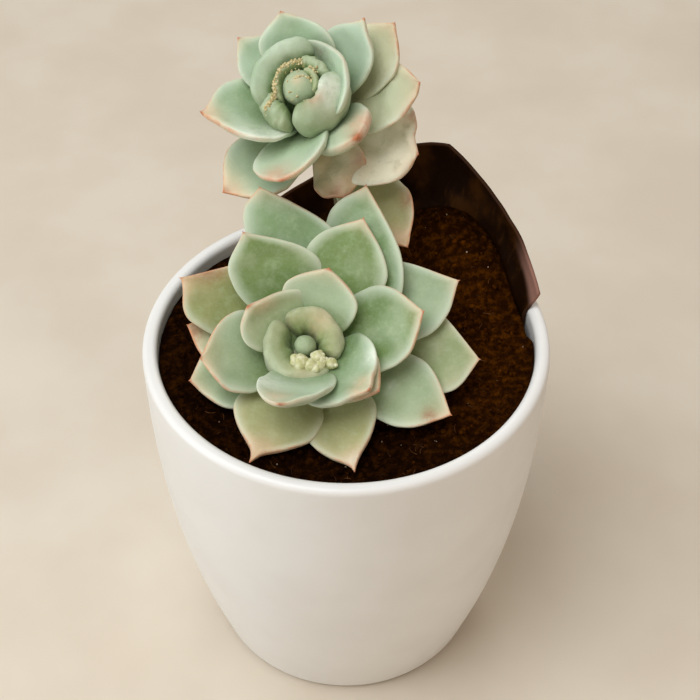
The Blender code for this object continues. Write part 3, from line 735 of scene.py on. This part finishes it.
def arc_shell(arc, rosette, seed, blunt, tilt):
    """A young leaf curled round the bud: a thick crescent, its crest sloping by the tilt."""
    rings, sides = 52, 28
    along, around = ball_grid(rings, sides)
    turns = np.radians(arc.start + (arc.end - arc.start) * along)
    fat = np.maximum(0.0, 1 - np.abs(2 * along - 1) ** blunt) ** 0.5
    side = signed_power(np.cos(around), ARC_POWER)
    face = signed_power(np.sin(around), ARC_POWER)
    bumps = np.array([wander((a * 30, c * 4, s * 4), DENT_SIZE, seed)
                      for a, c, s in zip(along, np.cos(around), np.sin(around))])
    across = arc.half_width * fat * side
    reach = arc.radius + across * (0.92 + 0.18 * bumps)
    height = arc.height + arc.half_height * fat * face * (0.93 + 0.15 * bumps) + tilt * across
    points = points_on(rosette, turns, reach, height)
    edge = np.maximum(0.0, 1 - face) * 4.0
    return points, ball_faces(rings, sides), along, edge, side, face


def lump_shell(centre, size, turn, seed, rough, squash=1.0, rings=12, sides=18):
    """A small rounded lump, in the rosette's own frame."""
    along, around = ball_grid(rings, sides)
    polar = pi * along
    unit = np.stack([np.sin(polar) * np.cos(around), np.sin(polar) * np.sin(around),
                     -np.cos(polar)], -1)
    grow = np.array([1 + rough * wander(u * size, size * 0.9, seed) for u in unit])
    unit = unit * grow[:, None] * np.array((1, 1, squash))
    return np.array(centre) + size * unit @ np.array(turn).T, ball_faces(rings, sides)


def make_front_heart(look):
    """Two crescents round a small bud."""
    pile = Pile()
    for number, (arc, skin) in enumerate(zip(FRONT.arcs, FRONT_ARC_LOOKS)):
        arc = arc._replace(start=arc.start - skin.earlier)
        points, faces, along, edge, side, _ = arc_shell(arc, FRONT, 70 + number, 8.0, 0.35)
        patch = hump(along, skin.peach_at, PATCH_SPREAD) * hump(edge, 0.0, 4.0)
        # Painted shade: the along value is lowered on the inner side, which faces the bud, so that
        # side takes the darker root colour
        pile.add_skin(points, faces, along=0.52 - 0.5 * np.maximum(0.0, -side), rim=2.5 + edge,
                      tip=12.0, green=skin.green, warm=skin.warm, blush=0.15,
                      pale=0.5 * np.maximum(0.0, side) ** 2, peach=skin.peach * patch,
                      brown=skin.root * hump(along, 0.0, 0.07))
    bud = FRONT.buds[0]
    points, faces = lump_shell(place_on(FRONT, 270, 0.5, bud.height), bud.size * 1.08,
                               rosette_turn(FRONT), 80, rough=0.07, rings=18, sides=24)
    pile.add_skin(points, faces, along=0.62, rim=5.0, tip=20.0, green=0.35, warm=0.3)
    pile.build("front_heart", "front_rosette", look)


def make_front_cluster(look):
    """The small pale buds, each a lump with smaller ones on it."""
    turn = rosette_turn(FRONT)
    pile = Pile()
    for number, bud in enumerate(FRONT.buds[1:]):
        centre = place_on(FRONT, bud.azimuth, bud.radius, bud.height)
        pile.add(*lump_shell(centre, bud.size, turn, 90 + number, rough=0.10))
        for extra in range(6):
            chance = Random(900 + 10 * number + extra)
            shift = Vector((chance.uniform(-1, 1), chance.uniform(-1, 1),
                            chance.uniform(0.2, 0.6))) * bud.size * 0.75
            pile.add(*lump_shell(centre + turn @ shift, bud.size * chance.uniform(0.35, 0.55), turn,
                                 100 + 10 * number + extra, rough=0.10, rings=9, sides=14))
    pile.build("front_cluster", "front_rosette", look)


def make_back_heart(look):
    """The oval bud with the crescents round it."""
    turn = rosette_turn(BACK)
    pile = Pile()
    bud = BACK.buds[0]
    centre = place_on(BACK, bud.azimuth, bud.radius, bud.height)
    points, faces = lump_shell(centre, bud.size, turn, 120, rough=0.07, squash=0.95,
                               rings=24, sides=32)
    away = np.linalg.norm(points - np.array(centre + turn @ Vector((0.2, 0.6, bud.size))), axis=1)
    pile.add_skin(points, faces, along=0.62, rim=4.0, tip=18.0, green=0.2, warm=0.4,
                  peach=0.9 * hump(away, 0.0, 1.7))
    for number, (arc, skin) in enumerate(zip(BACK.arcs + INNER_ARCS, BACK_ARC_LOOKS)):
        points, faces, along, edge, side, face = arc_shell(arc, BACK, 140 + number, 5.0, skin.tilt)
        crest = hump(side, -0.4, 0.4) * (face > 0)
        # Painted shade: the along value is lowered on the inner side, which faces the bud, so that
        # side takes the darker root colour
        pile.add_skin(points, faces, along=0.62 - 0.5 * np.maximum(0.0, -side - 0.1),
                      rim=3.0 + edge, tip=14.0, green=skin.green, warm=skin.warm,
                      # Painted highlight: pale along the top of each crescent, strongest a little
                      # past its middle
                      pale=skin.white * hump(along, 0.68, 0.22) * hump(edge, 0.0, 3.0),
                      pink=skin.pink * hump(along, skin.pink_at, PATCH_SPREAD) * crest)
    return pile.build("back_heart", "back_rosette", look)


def make_back_crumbs(look, *below):
    """Dried crumbs, dropped along the rosette's axis onto the pieces below."""
    axis = rosette_axes(BACK)[0]
    turn = rosette_turn(BACK)
    trees = [BVHTree.FromPolygons([v.co.copy() for v in piece.data.vertices],
                                  [tuple(f.vertices) for f in piece.data.polygons])
             for piece in below]
    chance = Random(77)
    pile = Pile()
    for path, width, count in DRIED_MARGINS:
        for number in range(count):
            t = chance.random() * (len(path) - 1)
            first, second = path[int(t)], path[int(t) + 1]
            share = t - int(t)
            azimuth = first[0] + (second[0] - first[0]) * share + chance.gauss(0, 1.5)
            radius = first[1] + (second[1] - first[1]) * share + chance.gauss(0, width * 0.5)
            start = place_on(BACK, azimuth, radius, CRUMB_START) * MM
            hits = [hit for hit in (tree.ray_cast(start, -axis) for tree in trees)
                    if hit[0] is not None]
            if not hits:
                continue
            place = min(hits, key=lambda hit: hit[3])[0] / MM
            size = 0.18 + 0.34 * chance.random() ** 2
            pile.add(*lump_shell(place + axis * size * 0.2, size, turn, 300 + number, rough=0.35,
                                 rings=5, sides=8))
    pile.build("back_crumbs", "back_rosette", look)


def make_core(name, rosette, node, look):
    """The crown and the leafy stem below it, which the leaves are rooted in."""
    rings, sides = 70, 36
    along, around = ball_grid(rings, sides)
    height = -rosette.core_foot + (rosette.core_top + rosette.core_foot) * along
    fat = np.clip(1 - np.abs(2 * along - 1) ** 14, 0, 1) ** 0.5
    wave = np.sin(height * 1.25 + 2 * around + 0.6 * np.sin(3 * around))
    scar = np.maximum(0.0, wave) ** 5
    radius = rosette.core_radius * fat * (0.97 + 0.09 * scar)
    points = points_on(rosette, around, radius, height)
    pile = Pile()
    pile.add_skin(points, ball_faces(rings, sides), along=0.2, rim=5.0, tip=20.0, upper=-1.0,
                  green=0.6, warm=0.8, age=0.5, brown=0.45 * scar)
    pile.build(name, node, look)


# Pot

def pot_outer(z):
    down = (POT_HEIGHT - z) / POT_HEIGHT
    return FOOT_RADIUS + (RIM_RADIUS - FOOT_RADIUS) * (1 - down ** BELLY_POWER)


def pot_inner(z):
    return pot_outer(z) - WALL


def rounding(x, z, radius, start, end, steps, power=1.0):
    """Points of a rounded corner about x and z, from one turn to another."""
    turns = [start + (end - start) * k / steps for k in range(steps + 1)]
    return [(x + radius * signed_power(cos(a), power), z + radius * signed_power(sin(a), power))
            for a in turns]


def make_pot(look):
    """The wall's section from the middle of the inner floor over the lip to the foot, turned."""
    inside_steps, outside_steps, sides = 40, 60, 160
    bottom, height = FLOOR + FOOT_ROUND, LIP_CENTRE_Z - FOOT_ROUND
    profile = [(pot_inner(FLOOR) - FOOT_ROUND, FLOOR)]
    profile += rounding(pot_inner(bottom) - FOOT_ROUND, bottom, FOOT_ROUND, -pi / 2, 0, 6)[1:-1]
    for k in range(inside_steps):
        z = bottom + (LIP_CENTRE_Z - bottom) * k / inside_steps
        profile.append((pot_inner(z), z))
    profile += rounding(RIM_RADIUS - LIP_RADIUS, LIP_CENTRE_Z, LIP_RADIUS, pi, 0, 16, LIP_POWER)
    for k in range(1, outside_steps + 1):
        z = LIP_CENTRE_Z - height * k / outside_steps
        profile.append((pot_outer(z), z))
    foot_x = pot_outer(FOOT_ROUND) - FOOT_ROUND
    profile += rounding(foot_x, FOOT_ROUND, FOOT_ROUND, 0, -pi / 2, 8)[1:]
    turns = 2 * pi * np.arange(sides) / sides
    points = [(0.0, 0.0, FLOOR)]
    for radius, z in profile:
        points += [(radius * cos(a), radius * sin(a), z) for a in turns]
    points.append((0.0, 0.0, 0.0))
    pile = Pile()
    pile.add(points, ball_faces(len(profile), sides))
    pile.build("pot_body", "pot", look, sharp=50)


# Liner

def liner_radius(z):
    wall_side = pot_inner(min(z, LIP_CENTRE_Z)) - CLEARANCE - LINER_THICK / 2
    above = max(0.0, z - LIP_CENTRE_Z)
    return wall_side + LINER_LEAN * above + LINER_FLARE * (1 - exp(-(above / LINER_BEND) ** 2))


def liner_top(azimuth):
    if azimuth < LINER_PEAK_AT:
        climb = max(0.0, (azimuth - LINER_FROM) / (LINER_PEAK_AT - LINER_FROM))
        return LINER_RIGHT_Z + (LINER_PEAK_Z - LINER_RIGHT_Z) * climb ** LINER_EDGE_POWER
    fall = min(1.0, (azimuth - LINER_PEAK_AT) / (LINER_TO - LINER_PEAK_AT))
    return LINER_PEAK_Z - (LINER_PEAK_Z - LINER_LEFT_Z) * fall ** LINER_EDGE_POWER


def make_liner(look):
    """A thin film that stands against the wall and over the lip, its top edge slightly uneven."""
    columns, rows = 110, 56
    points, edge, band = [], [], []
    for column in range(columns + 1):
        azimuth = LINER_FROM + (LINER_TO - LINER_FROM) * column / columns
        top = liner_top(azimuth) - 0.25 - 0.35 * abs(wander((azimuth, 0, 0), 9.0, 3))
        for row in range(rows + 1):
            z = LINER_FOOT_Z + (top - LINER_FOOT_Z) * row / rows
            buckle = 0.55 * wander((azimuth * 0.9, z, 0), 16.0, 5) - 0.15
            radius = liner_radius(z) + smooth((z - LINER_FREE_Z) / 8) * buckle
            points.append((radius * cos(radians(azimuth)), radius * sin(radians(azimuth)), z))
            edge.append(min(top - z, (azimuth - LINER_FROM) * ARC_OF_DEGREE,
                            (LINER_TO - azimuth) * ARC_OF_DEGREE))
            # Where the painted highlight lies: near the top edge, from the right end to its azimuth
            band.append(smooth((LINER_HIGHLIGHT_TO - azimuth) / 14) * smooth((z - top + 5) / 2.5))
    faces = []
    for column in range(columns):
        for row in range(rows):
            first = column * (rows + 1) + row
            faces.append((first, first + rows + 1, first + rows + 2, first + 1))
    pile = Pile()
    pile.add(points, faces, edge=edge, band=band)
    piece = pile.build("liner_film", "liner", look, sharp=60)
    shell = piece.modifiers.new("Thickness", "SOLIDIFY")
    shell.thickness = LINER_SKIN * MM
    shell.offset = 0.0


# Soil

def behind_liner(azimuth):
    """1 where the liner stands and a margin past its ends, else 0."""
    right = smooth((azimuth - LINER_FROM + SETBACK_MARGIN) / SETBACK_BLEND)
    return right * smooth((LINER_TO + SETBACK_MARGIN - azimuth) / SETBACK_BLEND)


def soil_height(x, y):
    """Lowest at the front left, up to the right and the rim, and heaped against the liner."""
    reach = sqrt(x * x + y * y) / RIM_RADIUS
    azimuth = atan2(y, x) * 180 / pi
    apart = (azimuth - MOUND_AZIMUTH + 180) % 360 - 180
    mound = SOIL_MOUND * exp(-(apart / MOUND_SPREAD) ** 2) * smooth((reach - 0.45) / 0.5)
    right = smooth((x - 8) / 42)
    edge = smooth((reach - 0.6) / 0.35) * (1 - right) * (1 - 0.6 * smooth((-y - 20) / 30))
    return SOIL_LEVEL + SOIL_RISE_RIGHT * right + SOIL_RISE_EDGE * edge + mound


def soil_edge(heading, z):
    """Radius of the soil's side: against the pot's wall, or against the liner above the lip."""
    azimuth = heading * 180 / pi
    if azimuth > 180:
        azimuth -= 360
    wall_gap = CLEARANCE + behind_liner(azimuth) * (LINER_THICK + 2 * CLEARANCE)
    if z <= LIP_CENTRE_Z:
        return pot_inner(z) - wall_gap
    return liner_radius(z) - LINER_THICK / 2 - SOIL_LINER_GAP


def soil_point(share, heading):
    """A point of the lumpy top, share of the way to the edge."""
    edge_z = soil_height(RIM_RADIUS * cos(heading), RIM_RADIUS * sin(heading))
    radius = share * soil_edge(heading, edge_z)
    z = soil_height(share * RIM_RADIUS * cos(heading), share * RIM_RADIUS * sin(heading))
    x, y = radius * cos(heading), radius * sin(heading)
    lumps = 0.9 * wander((x, y, 0), 7.0, 11, 3) + 0.55 * wander((x, y, 5), 2.2, 12, 3)
    return x, y, z + lumps * (1 - 0.5 * smooth((share - 0.9) / 0.1)) - 0.2


def make_soil(look):
    top_rings, sides = 72, 220
    turns = [2 * pi * k / sides for k in range(sides)]
    points = [soil_point(0.0, 0.0)]
    for ring in range(1, top_rings + 1):
        share = (ring / top_rings) ** 0.85
        points += [soil_point(share, a) for a in turns]
    edge_heights = [point[2] for point in points[-sides:]]
    for step in SIDE_STEPS:
        for a, top in zip(turns, edge_heights):
            z = top + (SIDE_FOOT_Z - top) * step
            radius = soil_edge(a, z)
            points.append((radius * cos(a), radius * sin(a), z))
    for z in LOW_LEVELS:
        radius = pot_inner(z) - SOIL_WALL_GAP
        points += [(radius * cos(a), radius * sin(a), z) for a in turns]
    points.append((0.0, 0.0, FLOOR + CLEARANCE))
    pile = Pile()
    pile.add(points, ball_faces(top_rings + len(SIDE_STEPS) + len(LOW_LEVELS), sides))
    pile.build("soil_bed", "soil", look)


def on_soil(chance, outer=0.97):
    """A random place on the bed, as a share of the way to the edge and a heading."""
    share = sqrt(chance.uniform(0.0, outer ** 2))
    return share, chance.uniform(0, 2 * pi)


def make_crumbs(look):
    """Loose lumps of soil, each a small uneven ball half sunk in the bed."""
    chance = Random(21)
    unit, faces = icosphere(2)
    pile = Pile()
    for _ in range(LUMP_COUNT):
        share, heading = on_soil(chance)
        size = 0.35 + 0.9 * chance.random() ** 3
        place = Vector(soil_point(share, heading)) + Vector((0, 0, size * 0.25))
        shift = Vector([chance.uniform(-50, 50) for _ in range(3)])
        grow = np.array([1 + 0.35 * noise.noise(Vector(u) * 1.3 + shift) for u in unit])
        stretch = np.array([chance.uniform(0.75, 1.25) for _ in range(3)])
        pile.add(np.array(place) + unit * grow[:, None] * stretch * size, faces)
    pile.build("soil_crumbs", "soil", look)


def make_fibres(look):
    """Short root fibres lying on the bed."""
    chance = Random(33)
    pile = Pile()
    rings, sides = 9, 5
    faces = ball_faces(rings, sides)
    for _ in range(FIBRE_COUNT):
        share, heading = on_soil(chance, outer=0.95)
        x, y, z = soil_point(share, heading)
        length, turn = chance.uniform(1.0, 3.8), chance.uniform(0, 2 * pi)
        bend, tilt = chance.uniform(-0.3, 0.3), chance.uniform(-0.2, 0.25)
        radius = chance.uniform(0.06, 0.13)
        line = []
        for step in range(rings + 2):
            t = step / (rings + 1) - 0.5
            angle = turn + bend * 3 * t
            px, py = x + length * t * cos(angle), y + length * t * sin(angle)
            reach = sqrt(px * px + py * py)
            if reach > FIBRE_REACH:
                px, py = px * FIBRE_REACH / reach, py * FIBRE_REACH / reach
            arch = 0.5 * sin(pi * (t + 0.5)) * abs(bend)
            line.append((px, py, z + 0.15 + tilt * length * t * 0.5 + arch))
        points = [line[0]]
        for px, py, pz in line[1:-1]:
            for s in range(sides):
                across, up = radius * cos(2 * pi * s / sides), radius * sin(2 * pi * s / sides)
                points.append((px + across, py + up * 0.6, pz + up))
        points.append(line[-1])
        pile.add(points, faces)
    pile.build("soil_fibres", "soil", look)


def make_grit(look):
    """Pale grains lying on the bed."""
    chance = Random(57)
    unit, faces = icosphere(1)
    pile = Pile()
    for _ in range(GRIT_COUNT):
        share, heading = on_soil(chance)
        size = 0.10 + 0.22 * chance.random() ** 2
        place = np.array(soil_point(share, heading)) + (0, 0, size * 0.5)
        stretch = np.array([chance.uniform(0.6, 1.3) for _ in range(3)])
        pile.add(place + unit * stretch * size, faces)
    pile.build("soil_grit", "soil", look)


# Stems

def bezier(points, t):
    while len(points) > 1:
        points = [a.lerp(b, t) for a, b in zip(points, points[1:])]
    return points[0]


def make_stem(name, node, points, rosette, look, seed):
    """A woody stem with the scars of fallen leaves round it, which ends inside its crown."""
    rings, sides, straight = 70, 28, 12
    axis = rosette_axes(rosette)[0]
    lead = Vector(rosette.crown) - axis * (rosette.core_foot + CLEARANCE + STEM_LEAD)
    guides = [Vector(point) for point in points] + [lead]
    path = [bezier(guides, k / (rings - straight)) for k in range(rings - straight)]
    path += [lead + axis * (STEM_LEAD + STEM_INTO_CROWN) * k / straight
             for k in range(straight + 1)]
    shell, scars, travelled = [path[0]], [0.0], 0.0
    for k in range(1, rings):
        middle = path[k]
        travelled += (path[k] - path[k - 1]).length
        ahead = (path[k + 1] - path[k - 1]).normalized()
        side = ahead.cross(Vector((0, 1, 0.2))).normalized()
        other = ahead.cross(side)
        taper = sqrt(max(0.05, min(1.0, (k - 0.5) / 1.5, (rings - k - 0.2) / 2.2)))
        for s in range(sides):
            a = 2 * pi * s / sides
            scar = max(0.0, sin(travelled * 1.15 + 2.2 * sin(a * 2 + travelled * 0.35))) ** 6
            knots = wander((cos(a) * 4, sin(a) * 4, travelled), 4.0, seed)
            swell = 0.93 + 0.05 * knots + 0.04 * scar
            shell.append(middle + (side * cos(a) + other * sin(a)) * STEM_RADIUS * swell * taper)
            scars.append(scar)
    shell.append(path[-1])
    scars.append(0.0)
    pile = Pile()
    pile.add(shell, ball_faces(rings - 1, sides), scar=scars)
    pile.build(name, node, look)


# Camera, lights and floor

def make_stage():
    mesh = bpy.data.meshes.new("floor")
    s, z = FLOOR_HALF, FLOOR_Z
    mesh.from_pydata([(-s, -s, z), (s, -s, z), (s, s, z), (-s, s, z)], [], [(0, 1, 2, 3)])
    mesh.materials.append(mixed_material("pale_floor"))
    floor = add_object("floor", mesh)


def make_lights():
    world = bpy.data.worlds.new("studio")
    bpy.context.scene.world = world
    world.use_nodes = True
    backdrop = world.node_tree.nodes["Background"]
    backdrop.inputs["Color"].default_value = (1.0, 0.92, 0.80, 1.0)
    backdrop.inputs["Strength"].default_value = 0.30
    for light in LIGHTS:
        data = bpy.data.lights.new(light.name, "AREA")
        data.shape = "DISK"
        data.size = light.size
        data.energy = light.power
        data.color = light.colour
        lamp = add_object(light.name, data)
        lamp.location = light.place
        ahead = Vector(LIGHT_TARGET) - Vector(light.place)
        lamp.rotation_euler = ahead.to_track_quat("-Z", "Y").to_euler()


def make_camera():
    """Aimed at the middle of the rim, then turned a little."""
    tilt, yaw, pitch = (radians(angle) for angle in (CAMERA_TILT, CAMERA_YAW, CAMERA_PITCH))
    ahead = Vector((0, cos(tilt), -sin(tilt)))
    up = Vector((0, sin(tilt), cos(tilt)))
    place = Vector((0, 0, POT_HEIGHT * MM)) - CAMERA_DISTANCE * MM * ahead
    pitched = cos(pitch) * ahead + sin(pitch) * up
    ahead = cos(yaw) * pitched + sin(yaw) * Vector((1, 0, 0))
    right = cos(yaw) * Vector((1, 0, 0)) - sin(yaw) * pitched
    up = right.cross(ahead)
    data = bpy.data.cameras.new("camera")
    data.sensor_width = SENSOR_WIDTH
    data.lens = LENS
    data.clip_start = 10 * MM
    camera = add_object("camera", data)
    turn = Matrix((right, up, -ahead)).transposed().to_4x4()
    camera.matrix_world = Matrix.Translation(place) @ turn
    bpy.context.scene.camera = camera


def main():
    bpy.context.scene.view_settings.view_transform = "Standard"
    make_camera()
    make_stage()
    make_lights()
    front_leaf, back_leaf = leaf_material("front_leaf", 1.4), leaf_material("back_leaf", 1.1)
    stem = stem_material()
    make_pot(pot_material())
    make_liner(liner_material())
    make_soil(soil_material("soil"))
    make_crumbs(soil_material("soil_lumps", 1.5))
    make_fibres(mixed_material("root_fibres"))
    make_grit(mixed_material("pale_grit"))
    make_stem("front_stem_bark", "front_stem", FRONT_STEM, FRONT, stem, 4)
    make_stem("back_stem_bark", "back_stem", BACK_STEM, BACK, stem, 6)
    make_leaves("front_leaves", FRONT, "front_rosette", front_leaf, 100)
    back_leaves = make_leaves("back_leaves", BACK, "back_rosette", back_leaf, 200)
    make_core("front_core", FRONT, "front_rosette", front_leaf)
    make_core("back_core", BACK, "back_rosette", back_leaf)
    make_front_heart(front_leaf)
    make_front_cluster(mixed_material("young_lumps", Subsurface_Weight=0.1,
                                      Subsurface_Radius=(0.9, 1.0, 0.4), Subsurface_Scale=0.8 * MM))
    back_heart = make_back_heart(back_leaf)
    make_back_crumbs(mixed_material("dried_margin"), back_heart, back_leaves)


main()
